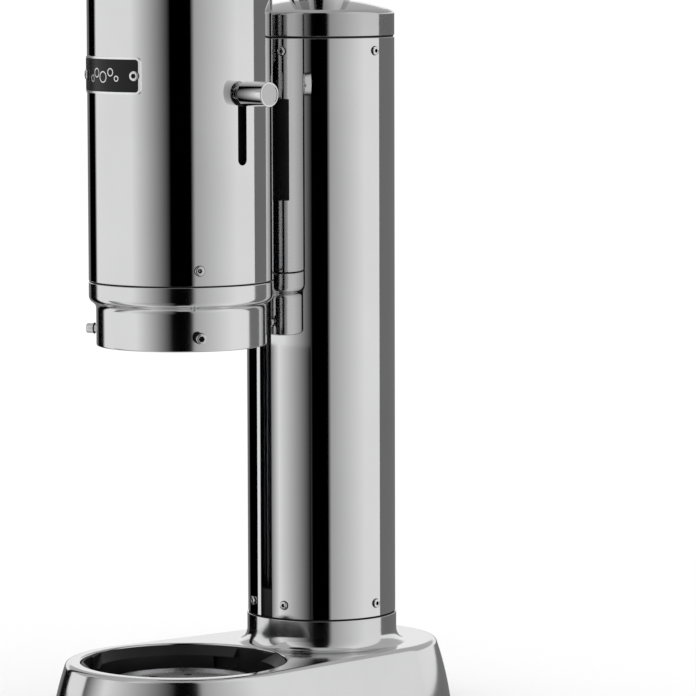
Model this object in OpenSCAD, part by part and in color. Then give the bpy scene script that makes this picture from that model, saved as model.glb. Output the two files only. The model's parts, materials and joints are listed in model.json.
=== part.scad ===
// Bench-top soda carbonator: a round pressure head slides down a tower over a bottle
// that stands in a bayonet well. Millimetres, +Z up, front towards -Y, floor at z = 0.

/* [Base] */
// Height of the base's flat top above the floor
base_top = 44.5; // [42:0.5:47]
// Radius of the base's top outline round the bottle well
base_front_r = 73.7; // [72:0.1:76]
// Radius of the base's top outline behind the tower
base_rear_r = 63.3; // [62:0.1:66]
// How much the base's outline widens from its top to its foot
base_flare = 10; // [8:0.5:12]
// Radius of the round opening of the bottle well
well_r = 64.8; // [64:0.1:65.5]

/* [Head] */
// Outer radius of the head tube
head_r = 57.5; // [57.2:0.1:58]
// Height of the head tube's lower seam, with the head raised
head_seam = 284.2; // [280:0.1:288]
// Length of the head tube
head_length = 287.8; // [280:0.1:295]
// Outer radius of the bayonet collar under the head
collar_r = 53; // [52.6:0.1:53.4]

/* [Tower] */
// Outer radius of the tower tube
tower_r = 47.4; // [47.2:0.1:47.8]
// Height of the tower tube's upper end
tower_top = 432.7; // [430:0.1:438]
// Width of the tower's front slot
tower_slot_w = 11; // [10:0.5:12]

/* [Handle] */
// Height of the side handle, at the top of its slot
handle_z = 401.1; // [396:0.1:404]
// Travel of the handle along its slot
handle_travel = 40.4; // [36:0.1:42]
// Diameter of the handle's round knob
knob_d = 15.2; // [12:0.1:17]

/* [Badge] */
// Width of the badge, straight across
badge_w = 57; // [50:0.5:58]
// Height of the badge
badge_h = 22.6; // [18:0.1:26]

/* [Hidden] */
$fn = 96;
eps = 0.05;

// Axes
head_y = -63;
tower_y = 53.2;
gas_y = 64;

// Directions round the head and the tower: -90 is the front, 0 the handle's side
handle_side = 1.5;
rear = 90;
bayonet_angles = [-28.5, -148.5, 91.5];
tower_screw_angles = [-72, -108, 5, 175, rear];

// Base
foot_h = 2.4;
base_low = 2;
base_wall = 3;
base_edge = 2.6;
base_profile = [[0, 1], [0.42, 0.64], [0.76, 0.31], [0.92, 0.1]];
base_rear_y = 67;
neck_top = 64.2;
neck_r = 48;
neck_bore_r = 43.2;
neck_fillet = 9;
plate_t = 2.6;
gas_hole_r = 32.5;
post_xy = [[-53, 75], [53, 75]];
cup_boss_angles = [rear, 210, 330];
cup_boss_r = 40;
pad_xy = [[-52, -90], [52, -90], [-48, 95], [48, 95], [0, 0]];
pad_r = 9;

// Bottle well
cup_floor = 15;
cup_inner_floor = 22;
cup_wall_in = well_r - 0.1;
cup_wall_out = 67.5;
ring_out = well_r - 0.5;
ring_in = 58;
ring_low = 22.4;
ring_top = base_top - 1;
ring_lip = 37.9;
pin_tip_r = 62.4;
pin_track_r = 63;
pin_track_low = 30.2;
pin_track_high = 37.3;
lock_turn = 24;
notch_span = 20;
notch_start = 4.5;
notch_ramp_l = 15;
tray_r = 46.5;
bottle_floor = 30;

// Tower
tower_wall = 1.5;
tower_in = tower_r - tower_wall;
slot_top = 412;
foot_block_low = 48.5;
foot_block_top = 82;
foot_screw_z = 73.1;
top_ring_low = 421.5;
top_ring_top = 431;
top_screw_z = 424.6;
small_head_r = 2.65;
rod_r = 3.5;
rod_x = 16;
rod_y = 21;
drum_z = 412;
drum_y = rod_y;
drum_r = 7;
lid_low = tower_top + 1.2;
lid_dome_r = 146;
lid_apex = 457.3;
lid_knob_r = 19.5;
lid_knob_top = 474;

// Gas cylinder
gas_r = 30;
gas_low = 8;
gas_shoulder = 318;
gas_neck_z = 350;
gas_top = 378;

// Head
head_wall = 1.2;
head_in = head_r - head_wall;
head_top = head_seam + head_length;
cap_h = 13;
collar_low = 243.5;
collar_ring_low = 274.2;
collar_step = 267;
collar_screw_z = 293.6;
pin_z = 252.3;
pin_head_r = 3.1;
liner_out = 50;
liner_in = 48;
liner_top = 437;
slot_w = 7.1;
slot_low = handle_z - handle_travel - slot_w / 2;
badge_z = 412.3;
badge_angle = -93.2;
badge_screw_angle = 25;

// Bracket and carriage
bracket_low = 330;
bracket_top = 394;
bracket_screw_z = [342, 382];
carriage_low = 322;
carriage_top = 402;
carriage_front = 15.2;
carriage_back = 31.5;
bushing_r = 4.9;
bushing_h = 12;

// Carrier and nozzle
carrier_z = 487;
carrier_t = 6;
carrier_r = 55.9;
hub_r = 20;
hub_top = 522;
housing_r = 15;
stem_r = 6;
seal_z = 476;
nozzle_low = 386;
spring_y = [-38, 38];
knob_l = 21.3;
arm_in = 51;
arm_out = 55.8;
arm_span = 16;

// Hoses
hose_r = 2.5;
hose_a = [36, 52];
hose_b = [27, 24];
hose_low = 214;
hose_loop_r = norm(hose_a - hose_b) / 2;
hose_bore_r = 2.2;
hose_lane_r = 53.1;
hose_angle = rear + 24;

// ---------- shared shapes ----------

module at_head() { translate([0, head_y, 0]) children(); }
module at_tower() { translate([0, tower_y, 0]) children(); }
module at_gas() { translate([0, gas_y, 0]) children(); }

// Children stand on the cylinder of radius r at each angle, their +Z pointing outwards
module round_about(angles, r, z) {
    for (a = angles) rotate([0, 0, a]) translate([r, 0, z]) rotate([0, 90, 0]) children();
}

module tube(r_out, r_in, z_low, z_high) {
    translate([0, 0, z_low]) difference() {
        cylinder(r = r_out, h = z_high - z_low);
        translate([0, 0, -eps]) cylinder(r = r_in, h = z_high - z_low + 2 * eps);
    }
}

module disc(r, z_low, z_high) {
    translate([0, 0, z_low]) cylinder(r = r, h = z_high - z_low);
}

// Domed cap screw with a hexagon socket; z = 0 is the underside of its head
module cap_screw(head_r, head_h, shank_r, shank_l) {
    difference() {
        union() {
            cylinder(r = head_r, h = head_h * 0.55);
            translate([0, 0, head_h * 0.55])
                cylinder(r1 = head_r, r2 = head_r * 0.74, h = head_h * 0.45);
        }
        translate([0, 0, head_h - 1]) cylinder(r = head_r * 0.5, h = 2, $fn = 6);
    }
    translate([0, 0, -shank_l]) cylinder(r = shank_r, h = shank_l);
}

// Rounded rectangle made of true arcs
module round_rect(w, h, r) {
    square([w - 2 * r, h], center = true);
    square([w, h - 2 * r], center = true);
    for (x = [-1, 1], y = [-1, 1]) translate([x * (w / 2 - r), y * (h / 2 - r)]) circle(r = r);
}

function unit(v) = v / norm(v);
function tangent(path, i) =
    unit(path[min(i + 1, len(path) - 1)] - path[max(i - 1, 0)]);

// Round bar of radius r swept along a path; side is square to the path's plane
module sweep(path, r, side, sides = 8) {
    n = len(path);
    rings = [for (i = [0:n - 1]) let (t = tangent(path, i), u = unit(cross(t, side)), v = cross(t, u))
        for (j = [0:sides - 1]) path[i] + r * (cos(360 * j / sides) * u + sin(360 * j / sides) * v)];
    walls = [for (i = [0:n - 2], j = [0:sides - 1], half = [0, 1])
        let (k = (j + 1) % sides, a = i * sides, b = a + sides)
        half == 0 ? [a + j, b + j, b + k] : [a + j, b + k, a + k]];
    start = [for (j = [0:sides - 1]) j];
    end = [for (j = [0:sides - 1]) n * sides - 1 - j];
    polyhedron(points = rings, faces = concat([start], walls, [end]));
}

// Helical compression or extension spring standing on z_low
module coil(r, wire_r, z_low, z_high, turns) {
    steps = turns * 10;
    path = [for (i = [0:steps])
        [r * cos(36 * i), r * sin(36 * i), z_low + wire_r + (z_high - z_low - 2 * wire_r) * i / steps]];
    sweep(path, wire_r, [0, 0, 1], 5);
}

// ---------- base ----------

// One end of the base: a round form whose side curves inwards as it rises
module base_stack(r, z_low, z_top) {
    rotate_extrude($fn = 48) polygon(concat(
        [[0, z_low]],
        [for (p = base_profile) [r + base_flare * p[1], z_low + (z_top - z_low) * p[0]]],
        [[r - base_edge * 0.3, z_top - base_edge * 0.3], [r - base_edge, z_top], [0, z_top]]
    ));
}

module base_form(inset, z_low, z_top) {
    hull() {
        at_head() base_stack(base_front_r - inset, z_low, z_top);
        translate([0, base_rear_y, 0]) base_stack(base_rear_r - inset, z_low, z_top);
    }
}

module base_shell() {
    color("silver") difference() {
        union() {
            difference() {
                base_form(0, base_low, base_top);
                base_form(base_wall, base_low - 1, base_top - 4);
            }
            for (p = post_xy) translate([p[0], p[1], 0]) disc(4, foot_h + plate_t, base_top - 3);
            at_tower() rotate_extrude() difference() {
                translate([0, base_top - 1]) square([neck_r + neck_fillet, neck_top - base_top + 1]);
                translate([neck_r + neck_fillet, base_top + neck_fillet]) circle(r = neck_fillet);
                translate([neck_r, base_top + neck_fillet])
                    square([neck_fillet + 1, neck_top - base_top]);
            }
        }
        at_head() disc(well_r, base_top - 8, base_top + 1);
        at_tower() disc(neck_bore_r, base_top - 8, neck_top + 1);
        for (p = post_xy) translate([p[0], p[1], 0]) disc(1.6, 0, 25);
    }
}

module plate_outline(inset) {
    hull() {
        translate([0, head_y]) circle(r = base_front_r + base_flare - inset, $fn = 72);
        translate([0, base_rear_y]) circle(r = base_rear_r + base_flare - inset, $fn = 72);
    }
}

module base_plate() {
    color("dimgray") difference() {
        translate([0, 0, foot_h]) linear_extrude(plate_t) plate_outline(base_wall + 1.6);
        at_gas() disc(gas_hole_r, 0, 10);
        for (p = post_xy) translate([p[0], p[1], 0]) disc(1.8, 0, 10);
        at_head() for (a = cup_boss_angles) rotate([0, 0, a]) translate([cup_boss_r, 0, 0])
            disc(1.8, 0, 10);
    }
}

module foot_pads() {
    color("black") for (p = pad_xy) translate([p[0], p[1], 0]) disc(pad_r, 0, foot_h);
}

module base_screws() {
    color("gray") {
        for (p = post_xy) translate([p[0], p[1], foot_h]) mirror([0, 0, 1])
            cap_screw(3.2, 1.7, 1.5, 14);
        at_head() for (a = cup_boss_angles) rotate([0, 0, a]) translate([cup_boss_r, 0, foot_h])
            mirror([0, 0, 1]) cap_screw(3.2, 1.7, 1.5, 14);
    }
}

module well_cup() {
    color([0.06, 0.06, 0.06]) at_head() difference() {
        union() {
            disc(cup_wall_out, cup_floor, base_top - 4.2);
            for (a = cup_boss_angles) rotate([0, 0, a]) translate([cup_boss_r, 0, 0])
                disc(4, foot_h + plate_t, cup_floor + 1);
        }
        disc(cup_wall_in, cup_inner_floor, base_top);
        for (a = cup_boss_angles) rotate([0, 0, a]) translate([cup_boss_r, 0, 0])
            disc(1.6, 0, cup_floor + 2);
    }
}

// Bayonet ring: pins drop in through the notches and pass under the roofs as it turns
module lock_ring() {
    color([0.09, 0.09, 0.09]) at_head() difference() {
        rotate_extrude() polygon([
            [ring_in, ring_low], [ring_out, ring_low], [ring_out, ring_top - 0.6],
            [ring_out - 0.6, ring_top], [ring_in, ring_lip]
        ]);
        for (a = bayonet_angles) {
            rotate([0, 0, a - notch_start]) {
                rotate_extrude(angle = notch_span) translate([ring_in - 1, pin_track_low - 0.4])
                    square([pin_track_r + 0.3 - ring_in + 1, 20]);
                rotate_extrude(angle = lock_turn + 10) translate([ring_in - 2, pin_track_low])
                    square([pin_track_r - ring_in + 2, pin_track_high - pin_track_low]);
                translate([ring_in - 3, 3, ring_top + 1]) rotate([90, 0, 90])
                    linear_extrude(pin_track_r - ring_in + 2.6)
                        polygon([[0, 0], [0, -9.2], [-3, -9.2], [-3 - notch_ramp_l, 0]]);
            }
        }
    }
}

module drip_tray() {
    color("lightgray") at_head() difference() {
        union() {
            disc(tray_r, bottle_floor - 1.4, bottle_floor);
            tube(tray_r, tray_r - 1.4, cup_inner_floor + 0.1, bottle_floor + 1.6);
        }
        for (a = [0:45:315]) rotate([0, 0, a]) translate([30, 0, 0]) disc(2.5, 20, 40);
        disc(6, 20, 40);
    }
}

// ---------- tower ----------

module tower_tube() {
    color("silver") at_tower() difference() {
        tube(tower_r, tower_in, neck_top + 0.3, tower_top);
        translate([-tower_slot_w / 2, -tower_r - 1, neck_top - 1])
            cube([tower_slot_w, tower_r, slot_top - neck_top + 1]);
        translate([0, 0, slot_top]) rotate([90, 0, 0]) cylinder(d = tower_slot_w, h = tower_r + 1);
        round_about(tower_screw_angles, tower_r - 8, foot_screw_z) cylinder(r = 1.55, h = 12);
        round_about(tower_screw_angles, tower_r - 8, top_screw_z) cylinder(r = 1.55, h = 12);
    }
}

module tower_foot_block() {
    color([0.08, 0.08, 0.08]) difference() {
        union() {
            at_tower() disc(neck_bore_r - 0.2, foot_block_low, neck_top + 0.3);
            at_tower() disc(tower_in - 0.1, neck_top + 0.3, foot_block_top);
        }
        at_gas() disc(gas_r + 1.5, 0, 100);
        at_tower() round_about(tower_screw_angles, tower_r - 8, foot_screw_z)
            cylinder(r = 1.55, h = 12);
        for (x = [-rod_x, rod_x]) translate([x, rod_y, 0]) disc(rod_r, 66, 100);
    }
}

module tower_top_ring() {
    color([0.08, 0.08, 0.08]) difference() {
        at_tower() disc(tower_in - 0.1, top_ring_low, top_ring_top);
        translate([0, tower_y + 9, 0]) disc(33, 400, 440);
        at_tower() round_about(tower_screw_angles, tower_r - 8, top_screw_z)
            cylinder(r = 1.55, h = 12);
        for (x = [-rod_x, rod_x]) translate([x, rod_y, 0]) disc(rod_r, 400, 428);
    }
}

module tower_screws(z) {
    color("lightgray") at_tower() round_about(tower_screw_angles, tower_r, z)
        cap_screw(small_head_r, 1.5, 1.5, 4);
}

module tower_foot_screws() { tower_screws(foot_screw_z); }
module tower_top_screws() { tower_screws(top_screw_z); }

module guide_rods() {
    color("gainsboro") for (x = [-rod_x, rod_x]) translate([x, rod_y, 0]) disc(rod_r, 66, 428);
}

module valve_block() {
    color("goldenrod") difference() {
        union() {
            at_gas() disc(16, 366, 400);
            translate([12, gas_y - 12, 388]) rotate([0, 90, 0]) cylinder(r = 5, h = 15);
            translate([36, 52, 388]) disc(4.4, -6, 5);
            translate([24, 52 - 4, 384]) cube([12, 8, 8]);
        }
        at_gas() disc(10, 360, gas_top + 1.6);
        at_gas() disc(2.5, 370, 392);
        translate([36, 52, 388]) disc(2.6, -7, -1);
    }
}

module valve_seal() {
    color("black") at_gas() translate([0, 0, gas_top + 0.8]) rotate_extrude()
        translate([6.5, 0]) circle(r = 0.8, $fn = 24);
}

module valve_bracket() {
    color("dimgray") difference() {
        union() {
            intersection() {
                at_tower() disc(tower_in - 0.6, 400, 404);
                translate([-60, 46, 390]) cube([120, 80, 20]);
            }
            for (x = [-37, 37]) translate([x, 58, 0]) disc(3.5, 404, top_ring_low);
        }
        for (x = [-8, 8]) translate([x, gas_y, 0]) disc(1.8, 390, 410);
    }
}

module drum_bracket() {
    color("dimgray") for (x = [-9, 7.4]) difference() {
        translate([x, drum_y - 6, drum_z - 5]) cube([1.6, 12, top_ring_low - drum_z + 5]);
        translate([x - 1, drum_y, drum_z]) rotate([0, 90, 0]) cylinder(r = 2.05, h = 4);
    }
}

module drum_axle() {
    color("gainsboro") translate([-10, drum_y, drum_z]) rotate([0, 90, 0]) cylinder(r = 2, h = 20);
}

module spring_drum() {
    color("slategray") translate([-6, drum_y, drum_z]) rotate([0, 90, 0]) difference() {
        union() {
            cylinder(r = drum_r, h = 12);
            cylinder(r = drum_r + 1.2, h = 0.8);
            translate([0, 0, 11.2]) cylinder(r = drum_r + 1.2, h = 0.8);
        }
        translate([0, 0, -1]) cylinder(r = 2.05, h = 14);
    }
}

module spring_tape() {
    color("lightsteelblue") translate([-5, drum_y + drum_r + 0.1, carriage_top])
        cube([10, 0.4, drum_z - carriage_top]);
}

// Supply hose: down from the valve block, round a hanging loop and up to the carriage
module gas_hose() {
    dir = (hose_b - hose_a) / norm(hose_b - hose_a);
    mid = (hose_a + hose_b) / 2;
    down = [for (z = [382, 350, 310, 270, 240]) [hose_a[0], hose_a[1], z]];
    bend = [for (a = [180:20:360]) [
        mid[0] + hose_loop_r * cos(a) * dir[0], mid[1] + hose_loop_r * cos(a) * dir[1],
        hose_low + hose_loop_r * sin(a)
    ]];
    up = [for (z = [240, 270, 300, carriage_low]) [hose_b[0], hose_b[1], z]];
    color([0.12, 0.12, 0.12]) sweep(concat(down, bend, up), hose_r, [dir[1], -dir[0], 0]);
}

// ---------- gas cylinder ----------

module gas_cylinder() {
    color("dimgray") at_gas() rotate_extrude() difference() {
        polygon([
            [0, gas_low + 3], [8, gas_low + 3], [22, gas_low], [gas_r - 3, gas_low], [gas_r, gas_low + 4],
            [gas_r, gas_shoulder], [gas_r - 3, gas_shoulder + 12], [gas_r - 9, gas_shoulder + 21],
            [14, gas_shoulder + 27], [12, gas_neck_z], [0, gas_neck_z]
        ]);
        polygon([
            [0, gas_low + 6], [24, gas_low + 6], [gas_r - 3, gas_low + 10], [gas_r - 3, gas_shoulder],
            [gas_r - 6, gas_shoulder + 10], [gas_r - 12, gas_shoulder + 18], [6, gas_neck_z - 4],
            [6, gas_neck_z + 1], [0, gas_neck_z + 1]
        ]);
    }
}

module gas_cylinder_valve() {
    color("goldenrod") at_gas() difference() {
        union() {
            disc(5.9, gas_neck_z - 14, gas_neck_z);
            disc(12, gas_neck_z, 362);
            disc(9.6, 362, gas_top);
        }
        disc(3, gas_top - 12, gas_top + 1);
    }
}

// ---------- tower lid ----------

module lid_dome(inset) {
    translate([0, 0, lid_apex - lid_dome_r]) sphere(r = lid_dome_r - inset);
}

module tower_lid() {
    color("silver") at_tower() difference() {
        union() {
            intersection() {
                disc(tower_r, lid_low, lid_apex + 1);
                lid_dome(0);
            }
            disc(43.9, top_ring_top + 0.2, lid_low);
        }
        intersection() {
            disc(tower_r - 4.9, 400, lid_apex + 1);
            lid_dome(2.5);
        }
        disc(2.6, 440, 470);
    }
}

module lid_seal() {
    color("black") at_tower() tube(tower_r - 0.6, 44, tower_top, lid_low);
}

module lid_knob() {
    color("silver") at_tower() difference() {
        union() {
            disc(lid_knob_r, lid_apex - 3, lid_knob_top - 1.2);
            translate([0, 0, lid_knob_top - 1.2]) cylinder(r1 = lid_knob_r, r2 = lid_knob_r - 1.2, h = 1.2);
        }
        lid_dome(0);
        disc(2.6, 440, 468);
    }
}

module lid_knob_screw() {
    color("gray") at_tower() translate([0, 0, lid_apex - 2.6]) mirror([0, 0, 1])
        cap_screw(4.5, 2.6, 2.5, 12);
}

// ---------- head ----------

module head_tube() {
    color("silver") at_head() difference() {
        tube(head_r, head_in, head_seam, head_top);
        round_about([handle_side], head_r - 6, 0) {
            translate([-handle_z, 0, 0]) cylinder(d = slot_w, h = 12);
            translate([-slot_low - slot_w / 2, 0, 0]) cylinder(d = slot_w, h = 12);
            translate([-handle_z, -slot_w / 2, 0]) cube([handle_travel, slot_w, 12]);
        }
        round_about(bayonet_angles, head_r - 8, collar_screw_z) cylinder(r = 1.55, h = 12);
        round_about(bayonet_angles, head_r - 8, head_top - 7) cylinder(r = 1.55, h = 12);
        for (z = bracket_screw_z) round_about([rear - 11, rear + 11], head_r - 8, z)
            cylinder(r = 1.55, h = 12);
        for (s = [-1, 1]) round_about([badge_angle + s * badge_screw_angle], head_r - 8, badge_z)
            cylinder(r = 1.55, h = 12);
    }
}

module head_cap() {
    color("silver") at_head() difference() {
        union() {
            disc(head_r, head_top, head_top + cap_h - 3);
            translate([0, 0, head_top + cap_h - 3]) cylinder(r1 = head_r, r2 = head_r - 1, h = 2);
            translate([0, 0, head_top + cap_h - 1]) cylinder(r1 = head_r - 1, r2 = head_r - 3, h = 1);
            disc(head_in - 0.1, head_top - 12, head_top);
        }
        disc(head_in - 4, head_top - 13, head_top + 9);
        round_about(bayonet_angles, head_r - 8, head_top - 7) cylinder(r = 1.55, h = 12);
    }
    color("silver") at_head() for (y = spring_y) translate([0, y, 0])
        disc(2.5, head_top + 2, head_top + 9);
}

module head_cap_screws() {
    color("lightgray") at_head() round_about(bayonet_angles, head_r, head_top - 7)
        cap_screw(2.95, 1.5, 1.5, 5);
}

module head_collar() {
    color("silver") at_head() difference() {
        union() {
            disc(collar_r, collar_low, collar_step);
            translate([0, 0, collar_step])
                cylinder(r1 = collar_r, r2 = head_r, h = collar_ring_low - collar_step);
            disc(head_r, collar_ring_low, head_seam - 0.6);
            disc(head_in - 0.1, head_seam - 0.6, head_seam + 16);
        }
        disc(liner_in, collar_low - 1, collar_low + 10);
        disc(liner_out + 0.1, collar_low + 2.5, head_top);
        round_about(bayonet_angles, head_r - 12, collar_screw_z) cylinder(r = 1.55, h = 12);
        round_about(bayonet_angles, collar_r - 8, pin_z) cylinder(r = 1.8, h = 12);
    }
}

module collar_screws() {
    color("lightgray") at_head() round_about(bayonet_angles, head_r, collar_screw_z)
        cap_screw(2.95, 1.5, 1.5, 5);
}

// The bayonet pins: long-headed screws that the lock ring catches
module lock_pins() {
    color("lightgray") at_head() round_about(bayonet_angles, collar_r, pin_z) difference() {
        union() {
            cylinder(r = 2.4, h = pin_tip_r - collar_r - 5);
            translate([0, 0, pin_tip_r - collar_r - 5]) cylinder(r = pin_head_r, h = 4.4);
            translate([0, 0, pin_tip_r - collar_r - 0.6])
                cylinder(r1 = pin_head_r, r2 = pin_head_r - 0.6, h = 0.6);
            translate([0, 0, -2.4]) cylinder(r = 1.75, h = 2.4);
        }
        translate([0, 0, pin_tip_r - collar_r - 2.5]) cylinder(r = 1.75, h = 4, $fn = 6);
    }
}

// A plate bent round the head tube, from a flat outline
module bent_plate(w, h, corner, r_low, r_high) {
    at_head() rotate([0, 0, badge_angle]) intersection() {
        tube(r_high, r_low, badge_z - h, badge_z + h);
        translate([0, 0, badge_z]) rotate([90, 0, 90]) linear_extrude(head_r + 10)
            round_rect(w, h, corner);
    }
}

module badge_frame() {
    color("lightgray") difference() {
        bent_plate(badge_w, badge_h, 3.2, head_r + 0.02, head_r + 1);
        bent_plate(badge_w - 2.4, badge_h - 2.4, 2.2, head_r - 1, head_r + 3);
        badge_holes(1.9);
    }
}

module badge_plate() {
    color("black") difference() {
        bent_plate(badge_w - 2.5, badge_h - 2.5, 2.15, head_r + 0.02, head_r + 0.7);
        badge_holes(1.9);
    }
}

module badge_holes(r) {
    for (s = [-1, 1]) at_head() round_about([badge_angle + s * badge_screw_angle], head_r - 2, badge_z)
        cylinder(r = r, h = 6);
}

module badge_screws() {
    color("lightgray") at_head() for (s = [-1, 1])
        round_about([badge_angle + s * badge_screw_angle], head_r + 0.72, badge_z)
            cap_screw(3.1, 1.5, 1.5, 2.5);
}

module chamber_liner() {
    color([0.1, 0.1, 0.1]) at_head() tube(liner_out, liner_in, collar_low + 2.5, liner_top);
}

// ---------- bracket and carriage ----------

// T-shaped bracket: a saddle on the head, a neck through the tower's slot, a flange inside
module head_bracket() {
    color("gray") difference() {
        union() {
            at_head() rotate([0, 0, rear - 18]) rotate_extrude(angle = 36)
                translate([head_r + 0.02, bracket_low]) square([4, bracket_top - bracket_low]);
            translate([-4.5, head_y + head_r + 2, bracket_low + 4])
                cube([9, carriage_front - head_y - head_r - 2, bracket_top - bracket_low - 8]);
            translate([-12, carriage_front - 4.6, bracket_low + 4])
                cube([24, 4.6, bracket_top - bracket_low - 8]);
        }
        for (z = bracket_screw_z) {
            at_head() round_about([rear - 11, rear + 11], head_r - 8, z) cylinder(r = 1.55, h = 11);
            for (x = [-8, 8]) translate([x, carriage_front + 1, z]) rotate([90, 0, 0])
                cylinder(r = 1.55, h = 6);
        }
    }
}

module bracket_plate() {
    color("dimgray") at_head() difference() {
        union() {
            rotate([0, 0, rear - 17]) rotate_extrude(angle = 34)
                translate([head_in - 2.6, bracket_low]) square([2.5, bracket_top - bracket_low]);
            rotate([0, 0, rear + 16]) rotate_extrude(angle = 13)
                translate([head_in - 5.4, bracket_top - 12]) square([5, 14]);
        }
        for (z = bracket_screw_z) round_about([rear - 11, rear + 11], head_r - 8, z)
            cylinder(r = 1.55, h = 12);
    }
}

module bracket_screws() {
    color("gray") at_head() for (z = bracket_screw_z, a = [rear - 11, rear + 11])
        rotate([0, 0, a]) translate([head_in - 2.75, 0, z]) rotate([0, -90, 0])
            cap_screw(2.6, 1.6, 1.5, 6.5);
}

module carriage() {
    color([0.12, 0.12, 0.12]) difference() {
        intersection() {
            at_tower() disc(44.5, carriage_low, carriage_top);
            translate([-32, carriage_front, carriage_low - 1])
                cube([64, carriage_back - carriage_front, carriage_top - carriage_low + 2]);
        }
        at_gas() disc(gas_r + 2, carriage_low - 1, carriage_top + 1);
        for (x = [-rod_x, rod_x]) translate([x, rod_y, 0]) {
            disc(bushing_r, carriage_low - 1, carriage_low + bushing_h);
            disc(bushing_r, carriage_top - bushing_h, carriage_top + 1);
            disc(bushing_r - 0.6, carriage_low, carriage_top);
        }
        for (x = [-8, 8], z = bracket_screw_z) translate([x, carriage_back + 1, z])
            rotate([90, 0, 0]) cylinder(r = 1.55, h = 20);
    }
}

module carriage_screws() {
    color("gray") for (x = [-8, 8], z = bracket_screw_z)
        translate([x, carriage_back, z]) rotate([-90, 0, 0]) cap_screw(2.8, 1.5, 1.5, 20);
}

module carriage_bushings() {
    color("goldenrod") for (x = [-rod_x, rod_x]) translate([x, rod_y, 0]) {
        tube(bushing_r, rod_r + 0.05, carriage_low, carriage_low + bushing_h);
        tube(bushing_r, rod_r + 0.05, carriage_top - bushing_h, carriage_top);
    }
}

// ---------- carrier, handle and nozzle ----------

module carrier() {
    color("gray") at_head() difference() {
        union() {
            disc(carrier_r, carrier_z, carrier_z + carrier_t);
            disc(hub_r, carrier_z, hub_top);
            for (x = [-15, 15]) translate([x, 0, 0]) disc(3, hub_top, 534);
            translate([-18, -6, 534]) cube([36, 12, 4]);
            for (y = spring_y) translate([0, y, 0]) disc(2.5, carrier_z + carrier_t, 500);
        }
        disc(housing_r + 0.05, carrier_z - 1, hub_top - 6);
        disc(stem_r + 0.05, carrier_z, hub_top + 1);
        disc(stem_r + 0.5, 530, 540);
        rotate([0, 0, hose_angle]) translate([hose_lane_r, 0, 0]) disc(3.2, 480, 500);
        translate([26, -26, 0]) disc(4.05, 480, 500);
        rotate([0, 0, handle_side]) translate([arm_in - 0.8, -9, 480]) cube([10, 18, 20]);
    }
}

module carrier_arm() {
    color([0.08, 0.08, 0.08]) at_head() difference() {
        union() {
            rotate([0, 0, handle_side - arm_span / 2]) rotate_extrude(angle = arm_span)
                translate([arm_in, handle_z - 8]) square([arm_out - arm_in, hub_top - 26 - handle_z + 8]);
            rotate([0, 0, handle_side]) translate([44, -7.5, carrier_z + carrier_t]) cube([9, 15, 3]);
        }
        round_about([handle_side], arm_in - 2, handle_z) cylinder(r = 3.2, h = 12);
    }
}

module handle_stem() {
    color("lightgray") at_head() round_about([handle_side], arm_in + 0.4, handle_z) {
        cylinder(r = 3.2, h = 16);
        translate([0, 0, head_r - arm_in + 0.4]) cylinder(r = 4.6, h = 2.6);
    }
}

module handle_knob() {
    knob_start = head_r + 3.4;
    color("silver") at_head() round_about([handle_side], knob_start, handle_z) difference() {
        union() {
            cylinder(d1 = knob_d - 1.2, d2 = knob_d, h = 0.6);
            translate([0, 0, 0.6]) cylinder(d = knob_d, h = knob_l - 1.2);
            translate([0, 0, knob_l - 0.6]) cylinder(d1 = knob_d, d2 = knob_d - 1.2, h = 0.6);
        }
        translate([0, 0, -1]) cylinder(r = 3.2, h = arm_in + 0.4 + 16 - knob_start + 1);
        translate([0, 0, knob_l - 0.3]) cylinder(d = knob_d - 2.4, h = 1);
    }
}

module safety_valve() {
    color("goldenrod") at_head() translate([26, -26, 0]) difference() {
        union() {
            disc(4, carrier_z, carrier_z + carrier_t);
            disc(6.2, carrier_z + carrier_t, 500);
            disc(4.6, 500, 514);
        }
        disc(2, carrier_z - 1, 510);
    }
}

module gas_valve() {
    color("goldenrod") at_head() {
        disc(9, 538, 556);
        disc(3, 531.5, 538);
        rotate([0, 0, hose_angle]) translate([8, 0, 550]) rotate([0, 90, 0]) cylinder(r = 2, h = 8);
    }
}

// Short hose from the bracket's port up behind the liner, through the carrier to the gas valve
module head_hose() {
    lane = [cos(hose_angle), sin(hose_angle), 0];
    path = [for (p = [
        [hose_lane_r, 396], [hose_lane_r, 420], [hose_lane_r, 450], [hose_lane_r, 480],
        [hose_lane_r, 505], [hose_lane_r, 524], [52, 534], [48.5, 542], [43, 547.5], [35, 550],
        [26, 550], [16, 550]
    ]) p[0] * lane + [0, 0, p[1]]];
    color([0.12, 0.12, 0.12]) at_head() sweep(path, hose_bore_r, [lane[1], -lane[0], 0]);
}

module return_springs() {
    color("silver") at_head() for (y = spring_y) translate([0, y, 0])
        coil(4.4, 0.6, carrier_z + carrier_t, head_top + 9, 14);
}

module nozzle_housing() {
    color([0.1, 0.1, 0.1]) at_head() difference() {
        union() {
            disc(18, seal_z, 481.5);
            disc(housing_r, 481.5, 503);
            disc(stem_r, 503, 526);
        }
        disc(12.5, seal_z - 1, 480);
        disc(3, 470, 530);
    }
}

module nozzle_tube() {
    color("lightgray") at_head() difference() {
        disc(3, nozzle_low, 500);
        disc(2, nozzle_low + 4, 501);
        disc(0.6, nozzle_low - 1, nozzle_low + 5);
    }
}

module bottle_seal() {
    color("black") at_head() difference() {
        disc(12.4, seal_z, 480);
        disc(7, seal_z - 1, 481);
    }
}

module nozzle_clip() {
    color("gainsboro") at_head() difference() {
        disc(9, hub_top + 0.2, hub_top + 1.4);
        disc(stem_r, hub_top, hub_top + 2);
        translate([-2, 0, hub_top]) cube([4, 12, 3]);
    }
}

module nozzle_spring() {
    color("silver") at_head() coil(10, 0.7, 503.1, hub_top - 6.1, 4);
}

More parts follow.
